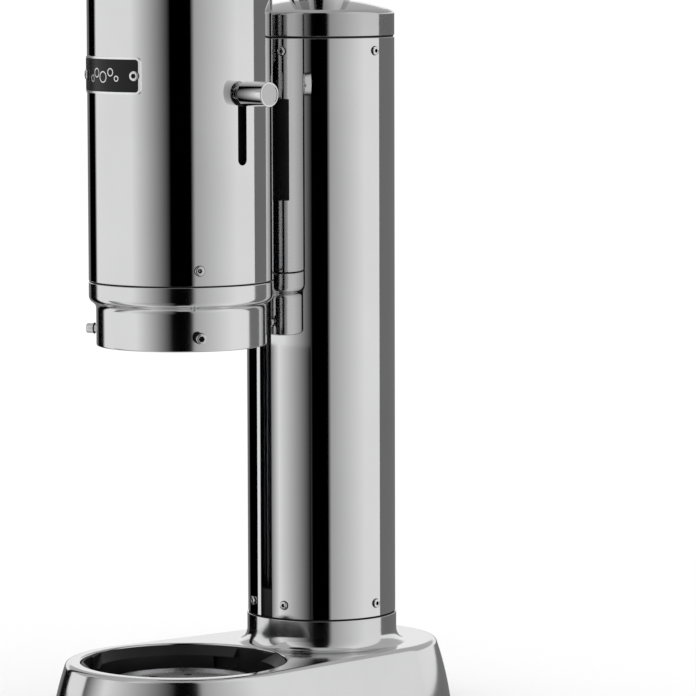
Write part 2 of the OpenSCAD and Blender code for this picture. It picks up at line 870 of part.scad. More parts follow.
base_shell();
base_plate();
foot_pads();
base_screws();
well_cup();
lock_ring();
drip_tray();
tower_tube();
tower_foot_block();
tower_top_ring();
tower_foot_screws();
tower_top_screws();
guide_rods();
valve_block();
valve_seal();
valve_bracket();
drum_bracket();
drum_axle();
spring_drum();
spring_tape();
gas_hose();
gas_cylinder();
gas_cylinder_valve();
tower_lid();
lid_seal();
lid_knob();
lid_knob_screw();
head_tube();
head_cap();
head_cap_screws();
head_collar();
collar_screws();
lock_pins();
badge_frame();
badge_plate();
badge_screws();
chamber_liner();
head_bracket();
bracket_plate();
bracket_screws();
carriage();
carriage_screws();
carriage_bushings();
carrier();
carrier_arm();
handle_stem();
handle_knob();
safety_valve();
gas_valve();
head_hose();
return_springs();
nozzle_housing();
nozzle_tube();
bottle_seal();
nozzle_clip();
nozzle_spring();
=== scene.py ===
"""Looks of the soda carbonator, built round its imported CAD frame. Metres, +Z up, front towards -Y."""

import json
import math

import bmesh
import bpy
from mathutils import Matrix, Vector
from mathutils.geometry import delaunay_2d_cdt


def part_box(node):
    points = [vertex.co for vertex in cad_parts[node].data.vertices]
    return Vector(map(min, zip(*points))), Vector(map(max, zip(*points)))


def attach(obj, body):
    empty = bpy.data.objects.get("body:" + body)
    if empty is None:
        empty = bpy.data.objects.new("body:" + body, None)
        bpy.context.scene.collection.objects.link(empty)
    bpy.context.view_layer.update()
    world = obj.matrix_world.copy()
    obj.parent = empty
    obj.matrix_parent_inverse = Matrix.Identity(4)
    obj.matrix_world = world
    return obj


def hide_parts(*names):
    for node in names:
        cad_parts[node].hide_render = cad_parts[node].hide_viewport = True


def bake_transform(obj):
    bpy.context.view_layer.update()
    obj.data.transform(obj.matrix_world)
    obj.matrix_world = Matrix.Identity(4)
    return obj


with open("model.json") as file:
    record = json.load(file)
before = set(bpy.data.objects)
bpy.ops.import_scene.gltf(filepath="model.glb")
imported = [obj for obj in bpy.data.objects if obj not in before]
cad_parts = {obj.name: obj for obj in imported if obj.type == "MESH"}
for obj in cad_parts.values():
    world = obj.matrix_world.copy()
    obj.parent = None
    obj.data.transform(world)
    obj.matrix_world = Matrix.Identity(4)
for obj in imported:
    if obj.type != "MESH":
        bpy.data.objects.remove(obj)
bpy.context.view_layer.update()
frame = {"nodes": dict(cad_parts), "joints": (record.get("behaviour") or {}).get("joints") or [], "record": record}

MM = 0.001
TAU = 2 * math.pi


# ---------- places and sizes, read from the frame ----------

def low(node):
    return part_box(node)[0]


def high(node):
    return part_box(node)[1]


def middle(node):
    lo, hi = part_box(node)
    return (lo + hi) / 2


def radius(node):
    """Radius of an upright round node, from its width."""
    return (high(node).x - low(node).x) / 2


def joint(name):
    return next(j for j in frame["joints"] if j["name"] == name)


HEAD = Vector((0, middle("head_tube").y, 0))
TOWER = Vector((0, middle("tower_tube").y, 0))
HEAD_R = radius("head_tube")
TOWER_R = radius("tower_tube")
HANDLE_SLOT_W = 7.1 * MM
TOWER_SLOT_W = 11 * MM
TOWER_SLOT_TOP = 412 * MM
HANDLE = middle("handle_stem")
HANDLE_TRAVEL = joint("handle_slide")["range_m"][1]
BAYONET_ANGLES = [math.radians(a) for a in (-28.5, -148.5, 91.5)]
TOWER_SCREW_ANGLES = [math.radians(a) for a in (-72, -108, 5, 175, 90)]
BADGE_ANGLE = math.radians(-93.2)
BADGE_SCREW_ANGLE = math.radians(25)
HANDLE_ANGLE = math.radians(1.5)
DOME_R = 146 * MM              # the lid's dome
SPRING_SIDE = 38 * MM          # how far each return spring stands from the head's axis


# ---------- mesh helpers ----------

def fillet(corners, steps=6):
    """An outline with its corners rounded: each corner is (r, z) or (r, z, radius)."""
    points = []
    for i, corner in enumerate(corners):
        here = Vector(corner[:2])
        size = corner[2] if len(corner) > 2 else 0
        if not size:
            points.append(tuple(here))
            continue
        before = (Vector(corners[i - 1][:2]) - here).normalized()
        after = (Vector(corners[(i + 1) % len(corners)][:2]) - here).normalized()
        half = before.angle(after) / 2
        centre = here + (before + after).normalized() * size / math.sin(half)
        start = here + before * size / math.tan(half) - centre
        end = here + after * size / math.tan(half) - centre
        turn = start.angle_signed(end)
        for k in range(steps + 1):
            points.append(tuple(centre + Matrix.Rotation(-turn * k / steps, 2) @ start))
    return points


def arc(centre_z, size, from_r, to_r, steps=16):
    """Points of a dome of that radius, from one distance off the axis to another."""
    rs = [from_r + (to_r - from_r) * k / steps for k in range(steps + 1)]
    return [(r, centre_z + math.sqrt(size * size - r * r)) for r in rs]


def make(name, bm, body, slot, *nodes, smooth=35, finish=None):
    """Turns a bmesh into a piece that rides on a body and stands for CAD nodes.

    finish names a material where the piece differs from its slot's usual one."""
    bmesh.ops.remove_doubles(bm, verts=bm.verts, dist=1e-6)
    bmesh.ops.recalc_face_normals(bm, faces=bm.faces)
    for face in bm.faces:
        face.smooth = True
    for edge in bm.edges:
        if edge.is_manifold and edge.calc_face_angle(0) > math.radians(smooth):
            edge.smooth = False
    mesh = bpy.data.meshes.new(name)
    bm.to_mesh(mesh)
    bm.free()
    piece = bpy.data.objects.new(name, mesh)
    bpy.context.scene.collection.objects.link(piece)
    mesh.materials.append(MATERIALS[finish or slot])
    if body:
        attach(piece, body)
    if nodes:
        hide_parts(*nodes)
    return piece


def even_normals(piece):
    """Keeps the shading of flat and long faces true where a small rounding meets them."""
    weighted = piece.modifiers.new("even_normals", "WEIGHTED_NORMAL")
    weighted.keep_sharp = True
    weighted.weight = 100
    return piece


def turned(bm, outline, place, segments=192):
    """Adds a solid of revolution: a closed outline of (r, z) turned about place's Z axis."""
    rings = []
    for r, z in outline:
        if r < 1e-7:
            rings.append([bm.verts.new(place @ Vector((0, 0, z)))] * segments)
            continue
        rings.append([bm.verts.new(place @ Vector((
            r * math.cos(TAU * k / segments), r * math.sin(TAU * k / segments), z)))
            for k in range(segments)])
    for i, ring in enumerate(rings):
        other = rings[(i + 1) % len(rings)]
        for k in range(segments):
            m = (k + 1) % segments
            corners = [ring[k], ring[m], other[m], other[k]]
            corners = [v for j, v in enumerate(corners) if v not in corners[:j]]
            if len(corners) > 2:
                bm.faces.new(corners)
    return bm


def upright(where, z=0):
    return Matrix.Translation((where[0], where[1], z))


def outward(axis, angle, r, z):
    """A place on a cylinder round axis, whose Z points straight out."""
    turn = Matrix.Rotation(angle, 4, "Z") @ Matrix.Translation((r, 0, z))
    return Matrix.Translation((axis[0], axis[1], 0)) @ turn @ Matrix.Rotation(math.pi / 2, 4, "Y")


def evaluated(piece):
    """Replaces a piece's mesh by the result of its modifiers."""
    bpy.context.view_layer.update()
    graph = bpy.context.evaluated_depsgraph_get()
    mesh = bpy.data.meshes.new_from_object(piece.evaluated_get(graph))
    piece.modifiers.clear()
    piece.data = mesh


def boolean(piece, cutter, operation):
    step = piece.modifiers.new(operation.lower(), "BOOLEAN")
    step.operation = operation
    step.solver = "EXACT"
    step.object = cutter
    evaluated(piece)
    bpy.data.objects.remove(cutter)


def round_normals(piece, axis, radii):
    """Gives faces on upright cylinders round axis their true radial normals, and others flat ones."""
    mesh = piece.data
    normals = [None] * len(mesh.loops)
    for face in mesh.polygons:
        ends = [mesh.vertices[v].co for v in face.vertices]
        offs = [math.hypot(c.x - axis.x, c.y - axis.y) for c in ends]
        on = any(all(abs(d - r) < 2e-5 for d in offs) for r in radii) and abs(face.normal.z) < 0.2
        out = Vector((face.center.x - axis.x, face.center.y - axis.y, 0)).dot(face.normal) > 0
        for loop, c in zip(face.loop_indices, ends):
            radial = Vector((c.x - axis.x, c.y - axis.y, 0)).normalized()
            normals[loop] = (radial if out else -radial) if on else face.normal.copy()
    for face in mesh.polygons:
        face.use_smooth = True
    mesh.normals_split_custom_set(normals)


def swept(bm, path, size, sides=10, side=Vector((0, 0, 1))):
    """Adds a round bar along a path of points, with flat ends."""
    rings = []
    for i, point in enumerate(path):
        along = (path[min(i + 1, len(path) - 1)] - path[max(i - 1, 0)]).normalized()
        u = along.cross(side).normalized()
        v = along.cross(u)
        rings.append([bm.verts.new(point + size * (math.cos(TAU * k / sides) * u
                                                   + math.sin(TAU * k / sides) * v))
                      for k in range(sides)])
    for ring, other in zip(rings, rings[1:]):
        for k in range(sides):
            m = (k + 1) % sides
            bm.faces.new([ring[k], ring[m], other[m], other[k]])
    bm.faces.new(rings[0])
    bm.faces.new(list(reversed(rings[-1])))
    return bm


def coil_path(centre, r, z_from, z_to, turns, steps=24):
    """A coil's centreline, with a closed turn at each end."""
    points = []
    total = int(turns * steps)
    for k in range(total + 1):
        t = k / total
        settled = min(max((t - 0.5) / (1 - 2 / turns) + 0.5, 0), 1)
        z = z_from + (z_to - z_from) * (0.94 * settled + 0.06 * t)
        angle = TAU * k / steps
        points.append(Vector((centre[0] + r * math.cos(angle), centre[1] + r * math.sin(angle), z)))
    return points


# ---------- materials ----------

BUMP_DEPTH = 0.2 * MM


def new_material(name):
    material = bpy.data.materials.new(name)
    material.use_nodes = True
    shader = next(n for n in material.node_tree.nodes if n.type == "BSDF_PRINCIPLED")
    return material, shader


def link(material, source, output, target, socket):
    material.node_tree.links.new(source.outputs[output], target.inputs[socket])


def noise(material, scale, stretch=(1, 1, 1), detail=4, roughness=0.5):
    """Object-space noise; stretch under 1 draws it out along that axis."""
    nodes = material.node_tree.nodes
    place = nodes.new("ShaderNodeTexCoord")
    mapping = nodes.new("ShaderNodeMapping")
    mapping.inputs["Scale"].default_value = stretch
    texture = nodes.new("ShaderNodeTexNoise")
    texture.inputs["Scale"].default_value = scale
    texture.inputs["Detail"].default_value = detail
    texture.inputs["Roughness"].default_value = roughness
    link(material, place, "Object", mapping, "Vector")
    link(material, mapping, "Vector", texture, "Vector")
    return texture


def spread(material, texture, to_low, to_high, from_low=0.3, from_high=0.7):
    """Maps a texture's middle range to a range of values."""
    ramp = material.node_tree.nodes.new("ShaderNodeMapRange")
    ramp.inputs["From Min"].default_value = from_low
    ramp.inputs["From Max"].default_value = from_high
    ramp.inputs["To Min"].default_value = to_low
    ramp.inputs["To Max"].default_value = to_high
    link(material, texture, "Fac", ramp, "Value")
    return ramp


def bump(material, shader, texture, strength):
    node = material.node_tree.nodes.new("ShaderNodeBump")
    node.inputs["Strength"].default_value = strength
    node.inputs["Distance"].default_value = BUMP_DEPTH
    link(material, texture, "Fac", node, "Height")
    link(material, node, "Normal", shader, "Normal")


def tint(material, shader, texture, dark, light):
    """Colour that varies between two near tones."""
    mix = material.node_tree.nodes.new("ShaderNodeMix")
    mix.data_type = "RGBA"
    mix.inputs["A"].default_value = (*dark, 1)
    mix.inputs["B"].default_value = (*light, 1)
    link(material, spread(material, texture, 0, 1), "Result", mix, "Factor")
    material.node_tree.links.new(mix.outputs["Result"], shader.inputs["Base Color"])


def metal(name, dark, light, rough, grain=(1, 1, 1), grain_scale=900, grain_depth=0.004):
    """Metal with faint smudges in its gloss and a fine grain."""
    material, shader = new_material(name)
    shader.inputs["Metallic"].default_value = 1
    smudge = noise(material, 14, detail=6)
    tint(material, shader, smudge, dark, light)
    gloss = spread(material, smudge, rough[0], rough[1])
    link(material, gloss, "Result", shader, "Roughness")
    bump(material, shader, noise(material, grain_scale, grain, 3), grain_depth)
    return material


def moulded(name, dark, light, rough, grain_scale=1800, depth=0.12, specular=0.5):
    """Moulded plastic or rubber with a fine matt texture."""
    material, shader = new_material(name)
    shader.inputs["Specular IOR Level"].default_value = specular
    patches = noise(material, 40, detail=5)
    tint(material, shader, patches, dark, light)
    link(material, spread(material, patches, rough[0], rough[1]), "Result", shader, "Roughness")
    bump(material, shader, noise(material, grain_scale, detail=2), depth)
    return material


MATERIALS = {
    "polished_steel": metal("polished_steel", (0.64, 0.64, 0.645), (0.68, 0.68, 0.683),
                            (0.03, 0.055), (1, 1, 0.02), 700, 0.012),
    "base_steel": metal("base_steel", (0.61, 0.61, 0.615), (0.66, 0.66, 0.663), (0.10, 0.15),
                        (1, 1, 0.2), 500, 0.01),
    "satin_steel": metal("satin_steel", (0.66, 0.66, 0.665), (0.7, 0.7, 0.703), (0.10, 0.14),
                         (0.02, 0.02, 1), 900, 0.02),
    "lid_steel": metal("lid_steel", (0.50, 0.50, 0.505), (0.56, 0.56, 0.563), (0.08, 0.12),
                       (1, 1, 1), 900, 0.02),
    "turned_steel": metal("turned_steel", (0.42, 0.42, 0.423), (0.5, 0.5, 0.503), (0.24, 0.32),
                          (1, 1, 1), 1400, 0.1),
    "black_anodised": moulded("black_anodised", (0.010, 0.010, 0.010), (0.016, 0.016, 0.017),
                              (0.45, 0.55), specular=0.2),
    "brushed_steel": metal("brushed_steel", (0.56, 0.56, 0.57), (0.66, 0.66, 0.67),
                           (0.22, 0.34), (1, 0.04, 1), 900, 0.12),
    "screw_steel": metal("screw_steel", (0.64, 0.64, 0.645), (0.72, 0.72, 0.723), (0.08, 0.14)),
    # near-black painted shade for screw sockets and the rings round screw heads
    "screw_shade": moulded("screw_shade", (0.006, 0.006, 0.006), (0.010, 0.010, 0.010), (0.5, 0.6),
                           specular=0.2),
    "frame_steel": metal("frame_steel", (0.8, 0.8, 0.81), (0.86, 0.86, 0.865), (0.22, 0.3)),
    "black_plastic": moulded("black_plastic", (0.007, 0.007, 0.0075), (0.011, 0.011, 0.012),
                             (0.3, 0.4), specular=0.25),
    "inner_plastic": moulded("inner_plastic", (0.010, 0.010, 0.011), (0.018, 0.018, 0.019),
                             (0.5, 0.62), specular=0.15),
    "rubber": moulded("rubber", (0.006, 0.006, 0.006), (0.012, 0.012, 0.012), (0.7, 0.85),
                      900, 0.3, 0.2),
    "brass": metal("brass", (0.62, 0.42, 0.16), (0.74, 0.54, 0.25), (0.18, 0.3), (1, 1, 0.1)),
    "aluminium": metal("aluminium", (0.5, 0.51, 0.53), (0.6, 0.61, 0.63), (0.28, 0.4),
                       (1, 1, 1), 1400, 0.08),
    "cylinder_paint": moulded("cylinder_paint", (0.20, 0.21, 0.22), (0.26, 0.27, 0.28), (0.4, 0.5)),
    "badge_paint": moulded("badge_paint", (0.004, 0.004, 0.005), (0.007, 0.007, 0.008),
                           (0.25, 0.35), 500, 0.03, 0.2),
    "spring_steel": metal("spring_steel", (0.5, 0.5, 0.53), (0.62, 0.62, 0.65), (0.2, 0.3)),
}


def finish_cad_nodes():
    """Every CAD node gets the material of its slot in the record; the bracket is anodised."""
    slots = {part["node"]: part["material_slot"] for part in frame["record"]["subparts"]}
    slots["head_bracket"] = "black_anodised"
    for name, node in frame["nodes"].items():
        node.data.materials.clear()
        node.data.materials.append(MATERIALS[slots[name]])


# ---------- polished shells ----------

TUBE_WALL = 1.2 * MM
TOWER_WALL = 1.5 * MM
TUBE_EDGE = 0.25 * MM
SPIGOT_R = HEAD_R - TUBE_WALL - 0.1 * MM     # what fits inside the head tube
COLLAR_R = 53 * MM
TOWER_SEAM = 0.6 * MM
HEAD_SEAM = 0.9 * MM


def tube_outline(r, wall, z_low, z_high, edge=TUBE_EDGE):
    return [
        (r - wall, z_low), (r - edge, z_low), (r, z_low + edge), (r, z_high - edge),
        (r - edge, z_high), (r - wall, z_high),
    ]


def stadium(name, place, width, length, depth):
    """A prism with round ends that cuts a slot; length is between its two end centres."""
    steps = 20
    outline = []
    for k in range(2 * steps + 2):
        end = length if k <= steps else 0
        angle = math.pi * (k if k <= steps else k - 1) / steps - math.pi / 2
        outline.append((end + width / 2 * math.cos(angle), width / 2 * math.sin(angle)))
    bm = bmesh.new()
    for h in (-depth, depth):
        bm.faces.new([bm.verts.new(place @ Vector((x, y, h))) for x, y in outline])
    bm.faces.ensure_lookup_table()
    bottom, top = (list(f.verts) for f in bm.faces)
    for k in range(len(outline)):
        m = (k + 1) % len(outline)
        bm.faces.new([bottom[k], bottom[m], top[m], top[k]])
    return make(name, bm, None, "inner_plastic")


def head_tube():
    """Tube with the handle's slot cut out of its side."""
    lo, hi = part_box("head_tube")
    bm = turned(bmesh.new(), tube_outline(HEAD_R, TUBE_WALL, lo.z, hi.z), upright(HEAD), 288)
    piece = make("head_tube_polished", bm, "head", "polished_steel", "head_tube")
    place = outward(HEAD, HANDLE_ANGLE, HEAD_R, HANDLE.z)
    cutter = stadium("handle_slot_cutter", place, HANDLE_SLOT_W, HANDLE_TRAVEL, 8 * MM)
    boolean(piece, cutter, "DIFFERENCE")
    round_normals(piece, HEAD, (HEAD_R, HEAD_R - TUBE_WALL))


def tower_tube():
    """Tube with the long front slot that the head's bracket runs in."""
    lo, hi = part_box("tower_tube")
    bm = turned(bmesh.new(), tube_outline(TOWER_R, TOWER_WALL, lo.z, hi.z), upright(TOWER), 288)
    piece = make("tower_tube_polished", bm, "stand", "polished_steel", "tower_tube")
    place = outward(TOWER, -math.pi / 2, TOWER_R, TOWER_SLOT_TOP)
    length = TOWER_SLOT_TOP - lo.z + TOWER_SLOT_W
    cutter = stadium("tower_slot_cutter", place, TOWER_SLOT_W, length, 12 * MM)
    boolean(piece, cutter, "DIFFERENCE")
    round_normals(piece, TOWER, (TOWER_R, TOWER_R - TOWER_WALL))


def head_collar():
    """Ring of the tube's diameter, rounded shoulder, and the narrower bayonet collar."""
    lo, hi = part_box("head_collar")
    bore, liner_r = 48 * MM, 50.1 * MM
    ring_top, lip_z = low("head_tube").z - HEAD_SEAM, lo.z + 2.5 * MM
    step, ring_low, curve_r = 268.9 * MM, 272.3 * MM, 4.5 * MM
    outline = fillet([
        (bore, lo.z, 0.4 * MM), (COLLAR_R, lo.z, 0.9 * MM), (COLLAR_R, step, curve_r),
        (HEAD_R, ring_low, curve_r), (HEAD_R, ring_top, 0.5 * MM), (SPIGOT_R, ring_top),
        (SPIGOT_R, hi.z), (liner_r, hi.z), (liner_r, lip_z), (bore, lip_z)
    ], 10)
    bm = turned(bmesh.new(), outline, upright(HEAD), 288)
    even_normals(make("head_collar_polished", bm, "head", "polished_steel", "head_collar",
                      finish="satin_steel"))


def head_cap():
    """Closed top with a spigot, and two pegs that the return springs hang on."""
    lo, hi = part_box("head_cap")
    seam = high("head_tube").z
    gap_top, ceiling = seam + 0.5 * MM, seam + 9 * MM
    inside_r = SPIGOT_R - 3.9 * MM
    outline = fillet([
        (inside_r, lo.z), (SPIGOT_R, lo.z), (SPIGOT_R, gap_top), (HEAD_R, gap_top, 0.4 * MM),
        (HEAD_R, hi.z, 2.5 * MM), (0, hi.z), (0, ceiling), (inside_r, ceiling)
    ])
    bm = turned(bmesh.new(), outline, upright(HEAD), 288)
    for y in (-SPRING_SIDE, SPRING_SIDE):
        peg = fillet([(0, seam + 2 * MM), (2.5 * MM, seam + 2 * MM, 0.5 * MM),
                      (2.5 * MM, seam + 9.5 * MM), (0, seam + 9.5 * MM)])
        turned(bm, peg, upright(HEAD + Vector((0, y, 0))), 24)
    even_normals(make("head_cap_polished", bm, "head", "polished_steel", "head_cap"))


def tower_lid():
    """Domed lid with a straight skirt; its spigot goes into the tube."""
    lo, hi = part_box("tower_lid")
    seam = high("lid_seal").z
    dome_z = hi.z - DOME_R
    rim_z = dome_z + math.sqrt(DOME_R ** 2 - TOWER_R ** 2)
    spigot_r, inside_r = 43.9 * MM, 42.5 * MM
    skirt = fillet([
        (inside_r, lo.z), (spigot_r, lo.z), (spigot_r, seam), (TOWER_R, seam, 0.4 * MM),
        (TOWER_R, rim_z, 2.2 * MM), (0, hi.z - 0.1 * MM), (0, lo.z)
    ])
    outside = skirt[:-2]
    outside += arc(dome_z, DOME_R, outside[-1][0] - 0.6 * MM, 0, 32)
    under = arc(dome_z, DOME_R - 2.5 * MM, 0, inside_r, 12)
    bm = turned(bmesh.new(), outside + under, upright(TOWER), 288)
    even_normals(make("tower_lid_polished", bm, "lid", "polished_steel", "tower_lid",
                      finish="lid_steel"))


def lid_knob():
    """Round knob that sits on the dome, with a shallow dish in its top."""
    lo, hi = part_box("lid_knob")
    r, dish_z = radius("lid_knob"), hi.z - 0.4 * MM
    dome_z = high("tower_lid").z - DOME_R
    under = arc(dome_z, DOME_R + 0.05 * MM, 0, r, 8)
    top = fillet([(0, 0), (r, lo.z), (r, hi.z, 1.6 * MM), (r - 5 * MM, hi.z, 1 * MM),
                  (r - 6 * MM, dish_z, 1 * MM), (0, dish_z)])[2:]
    bm = turned(bmesh.new(), under + top, upright(TOWER), 160)
    even_normals(make("lid_knob_polished", bm, "lid", "polished_steel", "lid_knob"))


# ---------- base ----------

def base_loop(bm, z, front_r, rear_r, rear_y, steps=96):
    """Outline round two circles, as seen from above, at one height."""
    tilt = math.asin((front_r - rear_r) / (rear_y - HEAD.y))
    straight = 13       # pieces that each straight side is divided into

    def front(angle):
        return Vector((front_r * math.cos(angle), HEAD.y + front_r * math.sin(angle)))

    def rear(angle):
        return Vector((rear_r * math.cos(angle), rear_y + rear_r * math.sin(angle)))

    def side(start, end):
        return [start.lerp(end, k / straight) for k in range(1, straight)]

    right, left = tilt, math.pi - tilt
    points = [front(left + (math.pi + 2 * tilt) * k / steps) for k in range(steps + 1)]
    points += side(front(right), rear(right))
    points += [rear(right + (math.pi - 2 * tilt) * k / steps) for k in range(steps + 1)]
    points += side(rear(left), front(left))
    return [bm.verts.new((x, y, z)) for x, y in points]


def bridge(bm, loop, other):
    """A band of faces between two closed loops."""
    for k in range(len(loop)):
        m = (k + 1) % len(loop)
        bm.faces.new([loop[k], loop[m], other[m], other[k]])


def ring_loop(bm, where, r, z, segments=192):
    return [bm.verts.new((where.x + r * math.cos(TAU * k / segments),
                          where.y + r * math.sin(TAU * k / segments), z)) for k in range(segments)]


def ring_stack(bm, where, outline, segments=192):
    """Open surface of revolution through (r, z) points; returns its first and last rings."""
    loops = [ring_loop(bm, where, r, z, segments) for r, z in outline]
    for loop, other in zip(loops, loops[1:]):
        bridge(bm, loop, other)
    return loops[0], loops[-1]


def inside(point, loop):
    """Whether a point lies within a loop of vertices, as seen from above."""
    crossings = 0
    for k, v in enumerate(loop):
        a, b = v.co, loop[k - 1].co
        if (a.y > point.y) != (b.y > point.y):
            crossings += a.x + (point.y - a.y) * (b.x - a.x) / (b.y - a.y) > point.x
    return crossings % 2 == 1


def flat_fill(bm, outline, *holes):
    """Flat face inside an outline, left open inside each hole's loop."""
    loops = [outline, *holes]
    points = [v for loop in loops for v in loop]
    edges, start = [], 0
    for loop in loops:
        edges += [(start + k, start + (k + 1) % len(loop)) for k in range(len(loop))]
        start += len(loop)
    _, _, faces, sources, _, _ = delaunay_2d_cdt([v.co.xy for v in points], edges, [], 1, 1e-7)
    for face in faces:
        corners = [points[sources[k][0]] for k in face]
        centre = sum((v.co.xy for v in corners), Vector((0, 0))) / len(corners)
        if not any(inside(centre, loop) for loop in holes):
            bm.faces.new(corners)


def neck_foot_width(angle, full, neck_r, rim_r):
    """How far the neck's foot spreads in a direction: less where the bottle well cuts it."""
    gap = HEAD.y - TOWER.y
    across, along = abs(gap * math.cos(angle)), gap * math.sin(angle)
    if across >= rim_r or along <= 0:
        return full
    room = along - math.sqrt(rim_r ** 2 - across ** 2) - neck_r - 0.3 * MM
    return full * room / (full ** 6 + room ** 6) ** (1 / 6)


def base_shell():
    """Shell of the base: leaning wall, flat top with the well's opening, and the tower's neck."""
    lo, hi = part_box("base_shell")
    top_z, neck_top = 44.5 * MM, hi.z - TOWER_SEAM
    wall, rear_y, flare, step_z = 3 * MM, 67 * MM, 10 * MM, 40.5 * MM
    front_r, rear_r = radius("base_shell") - flare, hi.y - rear_y - flare
    well_r, neck_r, neck_bore = 64.8 * MM, 48 * MM, 43.2 * MM
    neck_foot_w, neck_foot_h = 7 * MM, 9 * MM
    edge_r, edge_lean = 4 * MM, math.radians(18)
    bm = bmesh.new()
    # outer wall: it leans in and curves gently, then rolls over the rounded top edge
    wall_top = top_z - edge_r * (1 - math.sin(edge_lean))
    sections = []
    for k in range(15):
        z = lo.z + (wall_top - lo.z) * k / 14
        t = (z - lo.z) / (top_z - lo.z)
        sections.append((flare * (1 - t) * (1 + 0.45 * t), z))
    inset = edge_r * math.cos(edge_lean) - sections[-1][0]
    for k in range(1, 11):
        angle = edge_lean + (math.pi / 2 - edge_lean) * k / 10
        sections.append((edge_r * math.cos(angle) - inset, top_z - edge_r * (1 - math.sin(angle))))
    loops = [base_loop(bm, z, front_r + out, rear_r + out, rear_y) for out, z in sections]
    for loop, other in zip(loops, loops[1:]):
        bridge(bm, loop, other)
    # the well's rounded rim and short inner wall
    rim = fillet([(well_r + 3 * MM, top_z), (well_r, top_z, 1.2 * MM), (well_r, step_z)])
    rim_top, rim_low = ring_stack(bm, HEAD, rim[1:])
    # the neck that carries the tower
    segments = 192
    widths = [neck_foot_width(TAU * k / segments, neck_foot_w, neck_r, well_r + 1.3 * MM)
              for k in range(segments)]
    neck = []
    for step in range(16):
        a = math.pi / 2 * (1 - step / 16)
        z = top_z + neck_foot_h * (1 - math.sin(a))
        neck.append([bm.verts.new(TOWER + Vector((r * math.cos(t), r * math.sin(t), z)))
                     for t, r in ((TAU * k / segments, neck_r + w * (1 - math.cos(a)))
                                  for k, w in enumerate(widths))])
    for loop, other in zip(neck, neck[1:]):
        bridge(bm, loop, other)
    collar = fillet([(neck_r, top_z + neck_foot_h), (neck_r, neck_top, 0.3 * MM),
                     (neck_bore, neck_top), (neck_bore, step_z)])
    collar_low, neck_low = ring_stack(bm, TOWER, collar, segments)
    bridge(bm, neck[-1], collar_low)
    flat_fill(bm, loops[-1], rim_top, neck[0])
    # the inside of the shell
    inner = [base_loop(bm, z, front_r + out - wall, rear_r + out - wall, rear_y)
             for out, z in (sections[0], sections[7], (0, step_z))]
    bridge(bm, loops[0], inner[0])
    for loop, other in zip(inner, inner[1:]):
        bridge(bm, loop, other)
    flat_fill(bm, inner[-1], rim_low, neck_low)
    even_normals(make("base_shell_polished", bm, "stand", "polished_steel", "base_shell", smooth=50,
                      finish="base_steel"))


def seam_shade_rings():
    """Thin black rings that sit back in the seams under the tower and under the head's tube: painted shade in the
    seam gaps.
    """
    for name, axis, body, r_in, r_out, top, height in (
            ("neck_seam_shade_ring", TOWER, "stand", 44 * MM, TOWER_R - 0.3 * MM,
             high("base_shell").z, TOWER_SEAM),
            ("head_seam_shade_ring", HEAD, "head", HEAD_R - TUBE_WALL + 0.05 * MM, HEAD_R - 0.35 * MM,
             low("head_tube").z, HEAD_SEAM)):
        ring = [(r_in, top - height), (r_out, top - height), (r_out, top), (r_in, top)]
        # the near-black rubber finish here is painted shade for the seam's gap
        make(name, turned(bmesh.new(), ring, upright(axis), 192), body, "rubber")


# ---------- small hardware ----------

def socket_head(bm, place, head_r, head_h, hex_r, hex_depth, shank_r, shank_l, dome=0.35):
    """A cap screw: rounded head with a hexagon socket, a dark ring round it, and its shank; the ring and the
    socket are near-black painted shade.
    """
    segments = 48
    top_r = head_r * 0.68
    ring_r, ring_h = head_r * 1.14, 0.2 * MM
    rim = [(ring_r, 0), (ring_r, ring_h), (head_r, ring_h), (head_r, head_h * (1 - dome))]
    for k in range(1, 7):
        angle = math.pi / 2 * k / 6
        rim.append((top_r + (head_r - top_r) * math.cos(angle),
                    head_h * (1 - dome) + head_h * dome * math.sin(angle)))
    outline = [(shank_r, -shank_l), (shank_r, 0)] + rim
    socket = len(outline) + 2
    # painted shade: the ring round the head and the socket's walls take the near-black screw_shade material
    dark = {2, 3, 4, socket, socket + 1}      # bands of faces in the shade: the ring and the socket
    rings = [[bm.verts.new(place @ Vector((0, 0, -shank_l)))] * segments]
    for r, z in outline:
        rings.append([bm.verts.new(place @ Vector((
            r * math.cos(TAU * k / segments), r * math.sin(TAU * k / segments), z)))
            for k in range(segments)])
    for z, share in ((head_h, 1.12), (head_h - 0.12 * hex_depth, 1), (head_h - hex_depth, 1)):
        ring = []
        for k in range(segments):
            angle = TAU * k / segments
            corner = (angle + math.pi / 6) % (math.pi / 3) - math.pi / 6
            r = hex_r * share * math.cos(math.pi / 6) / math.cos(corner)
            ring.append(bm.verts.new(place @ Vector((r * math.cos(angle), r * math.sin(angle), z))))
        rings.append(ring)
    rings.append([bm.verts.new(place @ Vector((0, 0, head_h - hex_depth - 0.3 * hex_r)))] * segments)
    for i, (ring, other) in enumerate(zip(rings, rings[1:])):
        for k in range(segments):
            m = (k + 1) % segments
            corners = [ring[k], ring[m], other[m], other[k]]
            corners = [v for j, v in enumerate(corners) if v not in corners[:j]]
            bm.faces.new(corners).material_index = int(i in dark)


def screws(name, node, body, places, head_r, head_h, shank_r=1.5 * MM, shank_l=4 * MM):
    """One piece that holds a cap screw at each place."""
    bm = bmesh.new()
    for place in places:
        socket_head(bm, place, head_r, head_h, head_r * 0.5, head_h * 0.75, shank_r, shank_l)
    piece = make(name, bm, body, "screw_steel", node, smooth=30)
    piece.data.materials.append(MATERIALS["screw_shade"])


